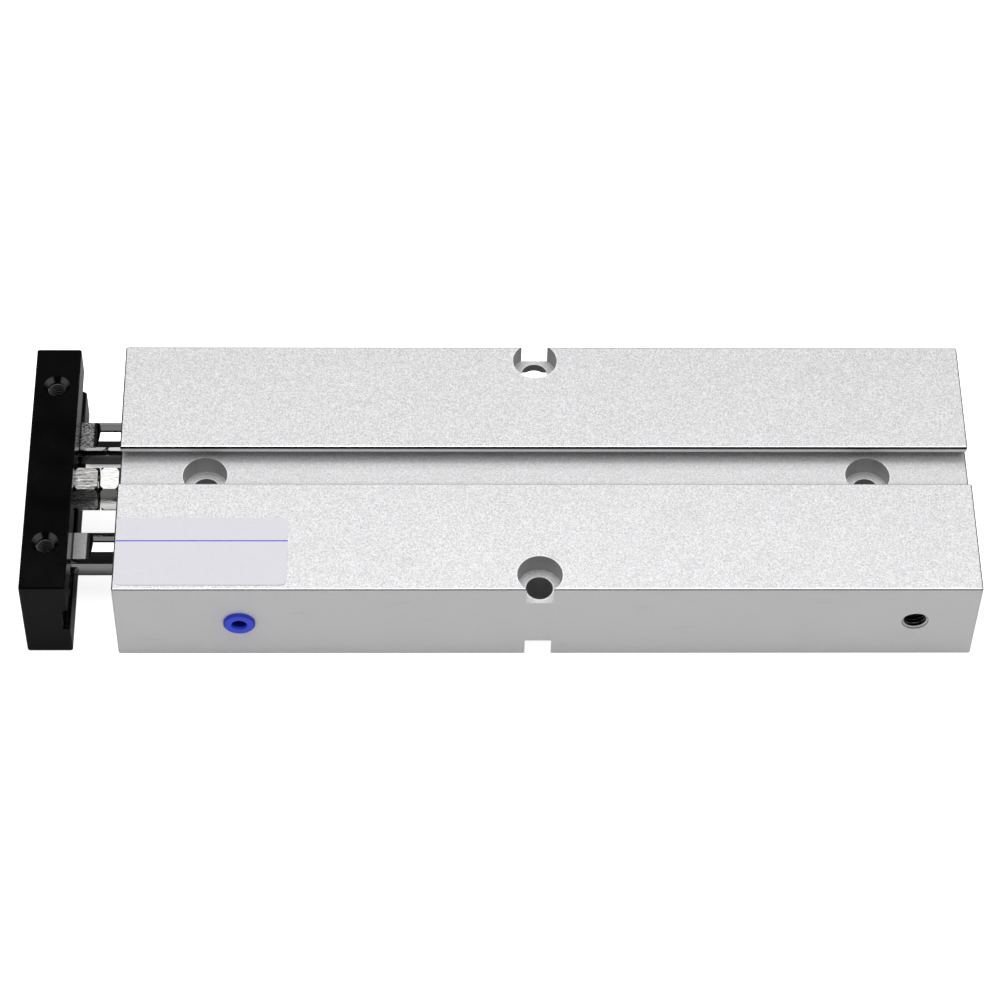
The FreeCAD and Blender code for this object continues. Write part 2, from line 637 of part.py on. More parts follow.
def paired_nodes(side, y):
    """The pieces that the left and the right cylinder each have one of."""
    front_groove = ROD_END_X + RING_INSET
    rear_groove = BLIND_END_X - RING_INSET - RING_GROOVE_W
    guide_o_ring = ROD_END_X + GUIDE_END - O_RING_SETBACK - O_RING_GROOVE_W
    cover_o_ring = ROD_END_X + REAR_COVER_START + O_RING_SETBACK
    return {
        "front_retaining_ring_" + side: retaining_ring(front_groove, y),
        "rod_guide_" + side: rod_guide(y),
        "guide_bush_" + side: guide_bush(y),
        "rod_seal_" + side: rod_seal(y),
        "guide_o_ring_" + side: o_ring(guide_o_ring, y),
        "front_bumper_" + side: front_bumper(y),
        "rear_bumper_" + side: rear_bumper(y),
        "rear_cover_" + side: rear_cover(y),
        "cover_o_ring_" + side: o_ring(cover_o_ring, y),
        "rear_retaining_ring_" + side: retaining_ring(rear_groove, y),
        "rod_" + side: rod(y),
        "piston_front_half_" + side: piston_front_half(y),
        "wear_ring_" + side: wear_ring(y),
        "magnet_" + side: magnet(y),
        "piston_rear_half_" + side: piston_rear_half(y),
        "piston_seal_" + side: piston_seal(y),
        "piston_nut_" + side: piston_nut(y),
        "plate_screw_" + side: plate_screw(y),
    }


def build():
    nodes = {
        "body": body(),
        "label": label(),
        "port_plug": port_plug(),
        "front_plate": front_plate(),
        "stop_bolt": stop_bolt(),
        "lock_nut": lock_nut(),
    }
    for side, y in SIDES:
        nodes.update(paired_nodes(side, y))
    return nodes


os.makedirs("parts", exist_ok=True)
for name, shape in build().items():
    shape.exportStep("parts/" + name + ".step")
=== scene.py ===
import json
import math

import bmesh
import bpy
from bpy.props import FloatProperty, FloatVectorProperty, IntProperty, PointerProperty
from mathutils import Matrix, Vector


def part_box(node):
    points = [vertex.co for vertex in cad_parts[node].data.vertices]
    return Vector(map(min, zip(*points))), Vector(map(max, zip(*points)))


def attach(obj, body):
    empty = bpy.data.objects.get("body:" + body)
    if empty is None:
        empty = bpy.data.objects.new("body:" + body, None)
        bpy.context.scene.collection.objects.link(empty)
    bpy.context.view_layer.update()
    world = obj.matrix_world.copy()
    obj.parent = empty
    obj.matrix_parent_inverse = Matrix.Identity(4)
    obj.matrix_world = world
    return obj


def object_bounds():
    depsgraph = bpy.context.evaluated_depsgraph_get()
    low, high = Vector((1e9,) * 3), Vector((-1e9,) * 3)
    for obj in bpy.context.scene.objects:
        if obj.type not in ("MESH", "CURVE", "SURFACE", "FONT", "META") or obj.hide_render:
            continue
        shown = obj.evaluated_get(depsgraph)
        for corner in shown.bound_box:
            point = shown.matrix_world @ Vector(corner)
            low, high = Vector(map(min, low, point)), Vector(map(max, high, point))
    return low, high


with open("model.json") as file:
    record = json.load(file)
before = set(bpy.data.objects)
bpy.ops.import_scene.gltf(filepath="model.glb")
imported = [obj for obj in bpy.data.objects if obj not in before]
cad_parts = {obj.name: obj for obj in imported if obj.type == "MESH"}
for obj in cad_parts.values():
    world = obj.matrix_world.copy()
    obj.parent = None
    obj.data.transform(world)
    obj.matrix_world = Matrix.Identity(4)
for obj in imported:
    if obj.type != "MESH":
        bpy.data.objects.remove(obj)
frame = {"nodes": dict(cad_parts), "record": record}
CAD_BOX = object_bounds()

bl_info = {
    "name": "Twin-Rod Cylinder",
    "version": (1, 0, 0),
    "blender": (4, 5, 0),
    "location": "3D View > Sidebar > Cylinder",
    "description": "Finishes, threads and a plain stage for a twin-rod pneumatic cylinder",
    "category": "Object",
}

SLOT_OF = {part["node"]: part["material_slot"] for part in frame["record"]["subparts"]}
COLOUR_OF = {m["slot"]: tuple(m["base_color"]) for m in frame["record"]["materials"]}
MOUNTS = {mount["name"]: mount for mount in frame["record"]["mounts"]}


# ---- Sizes and colours ----

def colour(name, description, default):
    return FloatVectorProperty(name=name, description=description, subtype="COLOR", size=3,
                               min=0.0, max=1.0, default=default)


def length(name, description, default):
    return FloatProperty(name=name, description=description, default=default, unit="LENGTH",
                         min=0.0, precision=5)


def share(name, description, default):
    return FloatProperty(name=name, description=description, default=default, subtype="FACTOR",
                         min=0.0, max=1.0)


class CylinderFinishes(bpy.types.PropertyGroup):
    """Colours and surface detail of the pieces that show"""
    body: colour("Body", "Blasted and clear anodised aluminium", COLOUR_OF["clear_anodised"])
    blast_grain: length("Blast grain", "Width of one grain of the blasted faces", 0.00026)
    blast_contrast: share("Blast contrast", "How far the grains differ in brightness", 0.23)
    plate: colour("Front plate", "Black anodised aluminium", (0.0016, 0.0016, 0.0017))
    chrome: colour("Rods", "Hard chromed and polished steel", (0.60, 0.60, 0.61))
    zinc: colour("Stop bolt and nut", "Zinc plated steel", (0.55, 0.545, 0.53))
    plug: colour("Dust plug", "Moulded blue plastic", (0.056, 0.105, 0.98))
    film: colour("Label", "Pale gloss film", (0.785, 0.785, 0.845))
    rule: colour("Label rule", "Thin blue line across the label", (0.13, 0.14, 0.75))
    rule_width: length("Rule width", "Width of the line across the label", 0.00028)
    rule_drop: length("Rule drop", "From the label's inner edge to the line", 0.00527)


class CylinderThreads(bpy.types.PropertyGroup):
    """Sizes of the threads that show in the open holes"""
    port_pitch: length("Port pitch", "From one turn of an M5 thread to the next", 0.0008)
    tap_pitch: length("Tap pitch", "From one turn of an M4 thread to the next", 0.0007)
    ridge: length("Ridge", "How far a turn stands into its hole", 0.00022)
    mouth: length("Mouth", "How deep the first turn begins", 0.0010)
    steps: IntProperty(name="Steps", description="Flats in one turn", default=32, min=8, max=96)


class CylinderStage(bpy.types.PropertyGroup):
    """Camera, lamp and floor"""
    camera_place: FloatVectorProperty(name="Camera", description="Where the camera stands",
                                      subtype="TRANSLATION", unit="LENGTH", size=3,
                                      default=(-0.0220, -0.3998, 0.5438))
    camera_turn: FloatProperty(name="Turn", description="Camera's turn to the right",
                               default=math.radians(2.187), subtype="ANGLE")
    camera_drop: FloatProperty(name="Drop", description="How far the camera looks down",
                               default=math.radians(53.692), subtype="ANGLE")
    camera_tilt: FloatProperty(name="Tilt", description="Camera's tilt to one side",
                               default=math.radians(-1.779), subtype="ANGLE")
    lens: FloatProperty(name="Lens", description="Focal length in millimetres", default=127.65)
    floor_radius: length("Floor radius", "Where the floor begins to curve up", 2.4)
    wall_height: length("Wall height", "How high the floor's rim rises", 0.75)
    lamp_height: length("Lamp height", "Soft lamp's height over the cylinder", 1.0)
    lamp_size: FloatVectorProperty(name="Lamp size", description="Soft lamp along X and Y",
                                   unit="LENGTH", size=2, default=(1.2, 0.97))
    lamp_offset: FloatProperty(name="Lamp offset", description="Soft lamp's place along Y",
                               unit="LENGTH", default=0.045)
    lamp_power: FloatProperty(name="Lamp power", description="Soft lamp's power in watts",
                              default=9.5, min=0.0)
    fill: share("Fill", "Grey level of the surroundings", 0.28)
    screen_distance: length("Screen distance", "Dark screen's place in front of the cylinder", 0.6)
    screen_height: length("Screen height", "Dark screen's upper edge", 1.15)
    card_width: length("Card width", "Dark card beside the soft lamp", 0.3)


# ---- Materials ----

class Finish:
    """One material's nodes, with short calls for what the finishes share."""

    def __init__(self, name):
        self.material = bpy.data.materials.new(name)
        self.material.use_nodes = True
        self.tree = self.material.node_tree
        self.tree.nodes.clear()
        self.shader = self.node("ShaderNodeBsdfPrincipled")
        output = self.node("ShaderNodeOutputMaterial")
        self.tree.links.new(self.shader.outputs[0], output.inputs["Surface"])
        place = self.node("ShaderNodeTexCoord")
        self.place = place.outputs["Object"]
        self.x, self.y, self.z = self.node("ShaderNodeSeparateXYZ", Vector=self.place).outputs
        facing = self.node("ShaderNodeSeparateXYZ", Vector=place.outputs["Normal"]).outputs
        self.facing = [self.math("ABSOLUTE", axis) for axis in facing]

    def node(self, kind, **inputs):
        made = self.tree.nodes.new(kind)
        for name, value in inputs.items():
            self.feed(made.inputs[name.replace("_", " ")], value)
        return made

    def feed(self, socket, value):
        if isinstance(value, bpy.types.NodeSocket):
            self.tree.links.new(value, socket)
        else:
            socket.default_value = value

    def set(self, **values):
        """Feeds the shader's own sockets, named with underscores."""
        for name, value in values.items():
            socket = self.shader.inputs[name.replace("_", " ")]
            if name == "Base_Color" and not isinstance(value, bpy.types.NodeSocket):
                value = (*value, 1.0)
            self.feed(socket, value)

    def math(self, operation, a, b=0.0, clamp=False):
        step = self.tree.nodes.new("ShaderNodeMath")
        step.operation = operation
        step.use_clamp = clamp
        self.feed(step.inputs[0], a)
        self.feed(step.inputs[1], b)
        return step.outputs[0]

    def span(self, value, low, high, to_low=0.0, to_high=1.0):
        """Maps low..high to to_low..to_high, and holds there past both ends."""
        step = self.node("ShaderNodeMapRange", Value=value, From_Min=low, From_Max=high,
                         To_Min=to_low, To_Max=to_high)
        return step.outputs["Result"]

    def times(self, a, b):
        return self.math("MULTIPLY", a, b)

    def plus(self, a, b):
        return self.math("ADD", a, b)

    def most(self, a, b):
        return self.math("MAXIMUM", a, b)

    def other(self, mask):
        """0 where the mask is 1, and 1 where it is 0."""
        return self.math("SUBTRACT", 1.0, mask)

    def below(self, value, limit, edge):
        """1 up to the limit, then falling to 0 over the edge."""
        return self.span(value, limit, limit + edge, 1.0, 0.0)

    def above(self, value, limit, edge):
        """0 up to the limit, then rising to 1 over the edge."""
        return self.span(value, limit, limit + edge)

    def rings(self, value, pitch):
        """Waves from 0 to 1, one for each pitch of the value."""
        return self.span(self.math("SINE", self.times(value, math.tau / pitch)), -1.0, 1.0)

    def band(self, value, low, high, edge):
        """1 between low and high, with soft edges."""
        rise = self.span(value, low - edge, low + edge)
        fall = self.span(value, high - edge, high + edge, 1.0, 0.0)
        return self.times(rise, fall)

    def noise(self, width, detail=2.0, stretch=(1.0, 1.0, 1.0), turn=(0.0, 0.0, 0.0), roughness=0.5):
        """Noise whose features are about width metres, longer along an axis by its stretch."""
        scale = tuple(1.0 / (width * s) for s in stretch)
        spot = self.node("ShaderNodeMapping", Vector=self.place, Rotation=turn, Scale=scale)
        made = self.node("ShaderNodeTexNoise", Vector=spot.outputs[0], Scale=1.0, Detail=detail,
                         Roughness=roughness)
        return made.outputs["Fac"]

    def swing(self, value, amount, centre=1.0):
        """Noise about 0.5 turned into centre plus or minus about amount."""
        return self.span(value, 0.25, 0.75, centre - amount, centre + amount)

    def distance(self, a, b, at_a, at_b):
        """Distance from the axis that passes through at_a, at_b in the plane of a and b."""
        spot = self.node("ShaderNodeCombineXYZ", X=a, Y=b)
        gap = self.tree.nodes.new("ShaderNodeVectorMath")
        gap.operation = "DISTANCE"
        self.feed(gap.inputs[0], spot.outputs[0])
        gap.inputs[1].default_value = (at_a, at_b, 0.0)
        return gap.outputs["Value"]

    def tinted(self, base, value):
        """A colour made brighter or darker by value."""
        step = self.node("ShaderNodeHueSaturation", Value=value)
        self.feed(step.inputs["Color"], base if isinstance(base, bpy.types.NodeSocket) else (*base, 1.0))
        return step.outputs[0]

    def between(self, factor, a, b):
        """Colour a where factor is 0, and b where it is 1."""
        step = self.tree.nodes.new("ShaderNodeMix")
        step.data_type = "RGBA"
        self.feed(step.inputs[0], factor)
        for socket, value in ((step.inputs[6], a), (step.inputs[7], b)):
            self.feed(socket, value if isinstance(value, bpy.types.NodeSocket) else (*value, 1.0))
        return step.outputs[2]

    def bump(self, height, depth, strength=1.0, onto=None):
        """Height 0..1 as relief of that depth in metres."""
        step = self.node("ShaderNodeBump", Height=height, Distance=depth, Strength=strength)
        if onto is not None:
            self.feed(step.inputs["Normal"], onto)
        return step.outputs[0]


def port_distance(f):
    """Distance from the nearer port's axis, a metre more past the body's middle."""
    places = [MOUNTS[name]["pos_m"][0] for name in ("front_port", "rear_port")]
    nearest = f.math("MINIMUM", *(f.distance(f.x, f.z, x, 0.0) for x in places))
    return f.plus(nearest, f.span(f.y, -0.002, -0.001))


def hole_distance(f, across):
    """Distance from the nearest mounting hole's axis."""
    half_long = MOUNTS["long_bolts"]["dims"]["spacing_x_mm"] / 2000
    half_side = MOUNTS["side_bolts"]["dims"]["spacing_y_mm"] / 2000
    along = f.math("ABSOLUTE", f.x)
    return f.math("MINIMUM", f.distance(along, across, half_long, 0.0),
                  f.distance(along, across, 0.0, half_side))


def port_shade_and_highlights(f, from_port):
    """How much darker a port is than the side, all painted: its tapped bore darkened as shade, and a spot
    face with a dark ring and lighter rings painted as the shade and highlights of its mouth.
    """
    tap_r = MOUNTS["rear_port"]["dims"]["r_mm"] / 1000
    spot_r = tap_r + 0.0006
    # Painted shade: the tapped bore darkened.
    tapped = f.below(from_port, tap_r, 6e-5)
    faced = f.math("SUBTRACT", f.below(from_port, spot_r, 2e-5), tapped, clamp=True)
    # Painted shade and highlights on the spot face: a dark ring between lighter rings at the mouth and outer
    # edge.
    dark_line = f.times(faced, f.band(from_port, tap_r + 0.00024, tap_r + 0.00033, 3e-5))
    bright = f.times(faced, f.most(f.below(from_port, tap_r + 0.00018, 3e-5),
                                   f.above(from_port, tap_r + 0.00048, 4e-5)))
    return f.plus(f.plus(f.times(dark_line, 0.8), f.times(bright, -0.35)), f.times(tapped, 0.75))


def clear_anodised(sizes, threads):
    """Blasted wide faces, smoother sides, bright drawn edges, and cut holes with turned marks."""
    f = Finish("clear_anodised")
    across, up = f.math("ABSOLUTE", f.y), f.math("ABSOLUTE", f.z)
    from_port, from_hole = port_distance(f), hole_distance(f, across)

    # Where each kind of surface is: the wide faces, the sawn ends, the rounded edges between them, and
    # what lies below the wide faces.
    wide = f.span(f.facing[2], 0.975, 0.99)
    ends = f.span(f.facing[0], 0.6, 0.9)
    port_clear_r = 0.003
    drawn = f.times(f.span(f.facing[2], 0.1, 0.2), f.other(wide))
    drawn = f.times(drawn, f.above(from_port, port_clear_r, 1e-4))
    sawn = f.times(drawn, f.span(f.facing[0], 0.3, 0.5))
    sunk = f.below(up, 0.0085, 5e-4)

    # The mounting holes: all that is bored, its flat cut faces, its walls, and a painted highlight round the
    # rim of each size.
    hole_r = MOUNTS["long_bolts"]["dims"]["hole_r_mm"] / 1000
    head_r = 0.0042
    within = f.below(across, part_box("body")[1].y - 6e-5, 2e-5)
    bored = f.times(f.below(from_hole, head_r + 2e-5, 2e-5), within)
    cut = f.times(bored, wide)
    wall = f.math("SUBTRACT", bored, cut, clamp=True)
    # Painted highlight: a thin lighter ring round the rim of each counterbore and of each bore.
    rim_highlights = f.times(f.plus(f.band(from_hole, head_r, head_r + 0.00017, 4e-5),
                          f.band(from_hole, hole_r - 1e-4, hole_r + 0.00025, 4e-5)), wide)
    # A dark ring on the cut floor of each counterbore.
    dark_line = f.band(from_hole, head_r - 0.0005, head_r - 0.0004, 5e-5)

    # Lighter and darker about the body's colour: blast grain and cloud; a painted highlight round each hole;
    # the turned cut faces lighter, partly bare cut metal and partly painted light against their walls'
    # shade; and the sides lighter as painted light.
    grain = f.noise(sizes.blast_grain, detail=1.0, roughness=0.6)
    contrast = f.span(wide, 0.0, 1.0, sizes.blast_contrast * 0.12, sizes.blast_contrast)
    contrast = f.times(contrast, f.span(sunk, 0.0, 1.0, 1.0, 0.8))
    shade = f.times(f.span(grain, 0.3, 0.7, -1.0, 1.0), contrast)
    shade = f.plus(shade, f.swing(f.noise(0.012, detail=3.0), 0.012))
    shade = f.plus(shade, f.times(rim_highlights, 0.2))
    # The cut floors lighter, partly as bare cut metal and partly as painted light against their walls'
    # shade.
    shade = f.plus(shade, f.times(cut, f.span(dark_line, 0.0, 1.0, 0.2, -0.1)))
    outer_holes, outer_walls = 0.015, 0.02
    shade = f.plus(shade, f.times(cut, f.span(across, outer_holes, outer_holes + 0.001, 0.0, 0.05)))
    # Painted light: faces turned to the sides lighter, the slot walls most.
    painted_side_light = f.span(across, outer_walls, outer_walls + 0.001, 0.15, 0.04)
    shade = f.plus(shade, f.times(f.span(f.facing[1], 0.9, 0.97), painted_side_light))

    # Only darker: smudges and specks; painted shade on the holes' walls, on the sawn edges, on the slots'
    # floors and along their lips; and painted shade and highlights at the ports.
    dirt_and_painted_shade = f.span(f.noise(0.004, detail=4.0, stretch=(2.0, 1.0, 1.0)), 0.62, 0.75, 0.0, 0.05)
    dirt_and_painted_shade = f.plus(dirt_and_painted_shade, f.span(f.noise(0.0007), 0.74, 0.78, 0.0, 0.1))
    # Painted shade: the holes' walls darker, the narrow bores more than the counterbore walls.
    deep = f.span(from_hole, hole_r + 2e-5, hole_r + 6e-5, 0.68, 0.54)
    dirt_and_painted_shade = f.plus(dirt_and_painted_shade, f.times(wall, deep))
    # Painted shade on the rounded edges at the sawn ends.
    dirt_and_painted_shade = f.plus(dirt_and_painted_shade, f.times(sawn, 0.6))
    # Painted shadow on the slots' floors, a little everywhere and most towards the lips over them.
    painted_slot_shadow = f.times(f.facing[2], f.span(across, 0.0012, 0.0034, 0.05, 0.32))
    dirt_and_painted_shade = f.plus(dirt_and_painted_shade, f.times(sunk, painted_slot_shadow))
    # Painted shade: a dark line along the top of each slot lip's wall.
    lip_outer, lip_low, lip_high = 0.0048, 0.00988, 0.0107
    lip = f.times(f.below(across, lip_outer, 1e-4), f.span(f.facing[1], 0.55, 0.65))
    dirt_and_painted_shade = f.plus(dirt_and_painted_shade, f.times(lip, f.band(up, lip_low, lip_high, 3e-5)))
    dirt_and_painted_shade = f.plus(dirt_and_painted_shade, port_shade_and_highlights(f, from_port))
    base = f.tinted(f.tinted(sizes.body, shade), f.most(0.0, f.other(dirt_and_painted_shade)))
    rough = f.plus(f.swing(grain, 0.04, 0.36), f.times(wide, 0.18))
    rough = f.plus(rough, f.times(drawn, -0.22))
    metallic = f.plus(0.1, f.times(f.most(wide, drawn), 0.7))

    # Relief: blast grain, rings in the cut faces, milling marks on the ends, and turns in the ports.
    blasted = f.math("SUBTRACT", wide, cut, clamp=True)
    normal = f.bump(f.times(grain, blasted), 0.00003, 0.5)
    tool_feed = 0.00022
    normal = f.bump(f.times(f.rings(from_hole, tool_feed), cut), 0.00001, 0.6, normal)
    milled = f.noise(0.00025, detail=2.0, stretch=(1.0, 14.0, 1.0))
    normal = f.bump(f.times(milled, ends), 0.00002, 0.5, normal)
    threaded = f.times(f.rings(f.y, threads.port_pitch), f.below(from_port, 0.00212, 6e-5))
    normal = f.bump(threaded, 0.0002, 0.8, normal)
    f.set(Base_Color=base, Metallic=metallic, Roughness=rough, Normal=normal)
    return f.material


def black_anodised(sizes):
    """Smooth black anodising with faint finger marks, and a painted highlight just past each tap in the
    upper edge.
    """
    f = Finish("black_anodised")
    marks = f.noise(0.006, detail=4.0)
    base = f.tinted(sizes.plate, f.span(f.noise(0.0006, detail=2.0), 0.68, 0.8, 1.0, 1.8))
    taps = MOUNTS["plate_top_taps"]
    middle, half = taps["pos_m"][1], taps["dims"]["spacing_y_mm"] / 2000
    nearest, farthest = 0.0003, 0.003
    beyond = f.most(*(f.band(f.y, tap_y + nearest, tap_y + farthest, 2e-4)
                      for tap_y in (middle - half, middle + half)))
    # Painted highlight: a lighter grey on the sloping faces just past each tap, towards +Y.
    tap_highlight = f.times(f.band(f.facing[0], 0.25, 0.66, 0.08), f.band(f.facing[2], 0.5, 0.8, 0.05))
    base = f.between(f.times(tap_highlight, beyond), base, (0.07, 0.07, 0.07))
    normal = f.bump(f.noise(0.0004, detail=2.0), 0.000006, 0.4)
    f.set(Base_Color=base, Roughness=f.swing(marks, 0.04, 0.16), Specular_IOR_Level=0.22, Normal=normal)
    return f.material


def chromed_steel(name, sizes, hatch, level, contrast):
    """Polished chrome, with the milled flats at the plate hatched in their own way, and painted shade on the
    ends, past the flats' run-out and in a line where each flat meets the plate.
    """
    f = Finish(name)
    flat = f.times(f.span(f.facing[2], 0.96, 0.99), f.below(f.math("ABSOLUTE", f.z), 0.003, 1e-4))
    slant = math.radians(38)
    cut = f.noise(hatch, detail=2.0, stretch=(1.5, 1.0, 1.0), turn=(0.0, 0.0, slant), roughness=0.6)
    cut_shade = f.span(cut, 0.35, 0.65, level - contrast, level + contrast)
    shade = f.plus(f.times(flat, f.plus(cut_shade, -1.0)), 1.0)
    plate_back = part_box("front_plate")[1].x
    flat_length = 0.0025
    # Painted shade: each flat past its run-out, and the faces turned along the rod, nearly black.
    run_out = f.times(flat, f.above(f.x, plate_back + flat_length, 2e-4))
    painted_end_shade = f.most(f.band(f.facing[0], 0.3, 0.97, 0.02), run_out)
    shade = f.times(shade, f.span(painted_end_shade, 0.0, 1.0, 1.0, 0.06))
    # Painted shade: a dark line across each flat where it meets the plate's back.
    dark_line = f.times(flat, f.below(f.x, plate_back + 0.00016, 8e-5))
    shade = f.times(shade, f.span(dark_line, 0.0, 1.0, 1.0, 0.12))
    rough = f.plus(f.swing(f.noise(0.0007, detail=3.0), 0.02, 0.06), f.times(flat, 0.34))
    normal = f.bump(f.times(cut, flat), 0.00006, 0.7)
    f.set(Base_Color=f.tinted(sizes.chrome, shade), Metallic=1.0, Roughness=rough, Normal=normal)
    return f.material


def zinc_steel(name, sizes, threads, dull, streak, gloss):
    """Zinc plating over hexagon stock, drawn in streaks along the bolt, with painted shade on its chamfers
    and below z = 0.
    """
    f = Finish(name)
    lines = f.noise(0.00042, detail=2.5, stretch=(4.0, 1.0, 1.0), roughness=0.6)
    low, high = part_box("stop_bolt")
    from_axis = f.distance(f.y, f.z, (low.y + high.y) / 2, (low.z + high.z) / 2)
    shank_r = 0.00262
    shank = f.below(from_axis, shank_r, 4e-5)
    crown = f.band(f.facing[0], 0.22, 0.9, 0.06)
    # Painted shade: the chamfers darkened to about an eighth, and all below z = 0 to half.
    painted_chamfer_and_low_shade = f.times(f.span(crown, 0.0, 1.0, 1.0, 0.12), f.span(f.z, 0.0, 0.001, 0.5, 1.0))
    base = f.tinted(sizes.zinc, f.times(f.swing(lines, streak, dull), painted_chamfer_and_low_shade))
    normal = f.bump(lines, 0.00020 * streak, 0.9)
    normal = f.bump(f.times(f.rings(f.x, threads.port_pitch), shank), 0.0002, 0.9, normal)
    f.set(Base_Color=base, Metallic=1.0, Roughness=f.swing(lines, 0.04, gloss), Normal=normal)
    return f.material


def blue_plastic(sizes):
    """Moulded plastic, slightly uneven, with painted shade round its rim and in its hole."""
    f = Finish("blue_plastic")
    low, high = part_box("port_plug")
    from_axis = f.distance(f.x, f.z, (low.x + high.x) / 2, 0.0)
    head_r = (high.x - low.x) / 2
    hole_r = 0.00153
    cloud = f.noise(0.0012, detail=3.0)
    # Painted shade: the rim of the head down to half as bright.
    rim = f.span(from_axis, head_r - 0.00035, head_r - 0.00015, 1.0, 0.5)
    # Painted shade: the hole dark past its mouth.
    deep = f.times(f.below(from_axis, hole_r, 4e-5), f.above(f.y, low.y + 0.0005, 3e-4))
    hole = f.span(deep, 0.0, 1.0, 1.0, 0.3)
    base = f.tinted(sizes.plug, f.times(f.swing(cloud, 0.06), f.times(rim, hole)))
    f.set(Base_Color=base, Roughness=f.swing(cloud, 0.06, 0.42), Specular_IOR_Level=0.25,
          Normal=f.bump(f.noise(0.0003), 0.00001, 0.4))
    return f.material


def label_film(sizes):
    """Pale gloss film with one thin rule across it, slightly yellowed and scuffed."""
    f = Finish("label_film")
    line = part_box("label")[1].y - sizes.rule_drop
    half = sizes.rule_width / 2
    rule = f.band(f.y, line - half, line + half, 3e-5)
    cloud = f.noise(0.011, detail=2.0)
    yellowed = (0.79, 0.775, 0.825)
    film = f.between(f.span(cloud, 0.2, 0.8), sizes.film, yellowed)
    film = f.tinted(film, f.swing(f.noise(0.0008, detail=3.0), 0.012))
    f.set(Base_Color=f.between(rule, film, sizes.rule), Roughness=f.swing(cloud, 0.05, 0.28),
          Specular_IOR_Level=0.5, Coat_Weight=0.3, Coat_Roughness=0.12,
          Normal=f.bump(f.noise(0.004, detail=1.0), 0.00004, 0.3))
    return f.material


def turned_metal(name, base, metallic, rough, ring, depth):
    """Metal turned about its rod's axis, with fine rings on its ends."""
    f = Finish(name)
    low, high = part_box("rod_left")
    from_axis = f.distance(f.math("ABSOLUTE", f.y), f.z, abs(low.y + high.y) / 2, 0.0)
    rings = f.rings(f.plus(from_axis, f.times(f.x, 0.7)), ring)
    cloud = f.noise(0.0012, detail=3.0)
    shade = f.plus(f.swing(cloud, 0.06), f.span(rings, 0.0, 1.0, -0.03, 0.03))
    f.set(Base_Color=f.tinted(base, shade), Metallic=metallic, Roughness=f.swing(cloud, 0.05, rough),
          Normal=f.bump(rings, depth, 0.6))
    return f.material


def moulded(name, base, rough, grain, depth):
    """Rubber or filled plastic with a fine moulded grain."""
    f = Finish(name)
    speck = f.noise(grain, detail=3.0, roughness=0.6)
    f.set(Base_Color=f.tinted(base, f.swing(speck, 0.15)), Roughness=f.swing(speck, 0.08, rough),
          Normal=f.bump(speck, depth, 0.5))
    return f.material


def dress(names, material):
    """Gives CAD nodes a finished material in their own slot."""
    for name in names:
        node = frame["nodes"][name]
        if not node.material_slots:
            node.data.materials.append(None)
        for slot in node.material_slots:
            slot.material = material


def nodes_in(*slots):
    return [name for name, slot in SLOT_OF.items() if slot in slots]


# ---- Threads ----

def thread_tree():
    """Geometry Nodes tree: ridges that wind into each of a row of holes."""
    tree = bpy.data.node_groups.new("thread_ridges", "GeometryNodeTree")
    tree.is_modifier = True
    tree.interface.new_socket("Geometry", in_out="OUTPUT", socket_type="NodeSocketGeometry")
    kinds = {"Radius": "Float", "Ridge": "Float", "Pitch": "Float", "Turns": "Float", "Steps": "Int",
             "Holes": "Int", "First Hole": "Vector", "Next Hole": "Vector", "Turned": "Vector",
             "Finish": "Material"}
    for name, kind in kinds.items():
        tree.interface.new_socket(name, in_out="INPUT", socket_type="NodeSocket" + kind)
    sizes = tree.nodes.new("NodeGroupInput").outputs
    link = tree.links.new

    wound = tree.nodes.new("GeometryNodeCurveSpiral")
    link(sizes["Steps"], wound.inputs["Resolution"])
    link(sizes["Turns"], wound.inputs["Rotations"])
    link(sizes["Radius"], wound.inputs["Start Radius"])
    link(sizes["Radius"], wound.inputs["End Radius"])
    rise = tree.nodes.new("ShaderNodeMath")
    rise.operation = "MULTIPLY"
    link(sizes["Pitch"], rise.inputs[0])
    link(sizes["Turns"], rise.inputs[1])
    link(rise.outputs[0], wound.inputs["Height"])
    upright = tree.nodes.new("GeometryNodeSetCurveNormal")
    upright.mode = "Z_UP"
    link(wound.outputs[0], upright.inputs["Curve"])
    flank = tree.nodes.new("GeometryNodeCurvePrimitiveCircle")
    flank.inputs["Resolution"].default_value = 4
    link(sizes["Ridge"], flank.inputs["Radius"])
    ridge = tree.nodes.new("GeometryNodeCurveToMesh")
    ridge.inputs["Fill Caps"].default_value = True
    link(upright.outputs["Curve"], ridge.inputs["Curve"])
    link(flank.outputs["Curve"], ridge.inputs["Profile Curve"])

    holes = tree.nodes.new("GeometryNodeMeshLine")
    link(sizes["Holes"], holes.inputs["Count"])
    link(sizes["First Hole"], holes.inputs["Start Location"])
    link(sizes["Next Hole"], holes.inputs["Offset"])
    turned = tree.nodes.new("FunctionNodeEulerToRotation")
    link(sizes["Turned"], turned.inputs[0])
    put = tree.nodes.new("GeometryNodeInstanceOnPoints")
    link(holes.outputs[0], put.inputs["Points"])
    link(ridge.outputs[0], put.inputs["Instance"])
    link(turned.outputs[0], put.inputs["Rotation"])
    real = tree.nodes.new("GeometryNodeRealizeInstances")
    link(put.outputs[0], real.inputs[0])
    finish = tree.nodes.new("GeometryNodeSetMaterial")
    link(real.outputs[0], finish.inputs["Geometry"])
    link(sizes["Finish"], finish.inputs["Material"])
    output = tree.nodes.new("NodeGroupOutput")
    link(finish.outputs[0], output.inputs[0])
    return tree


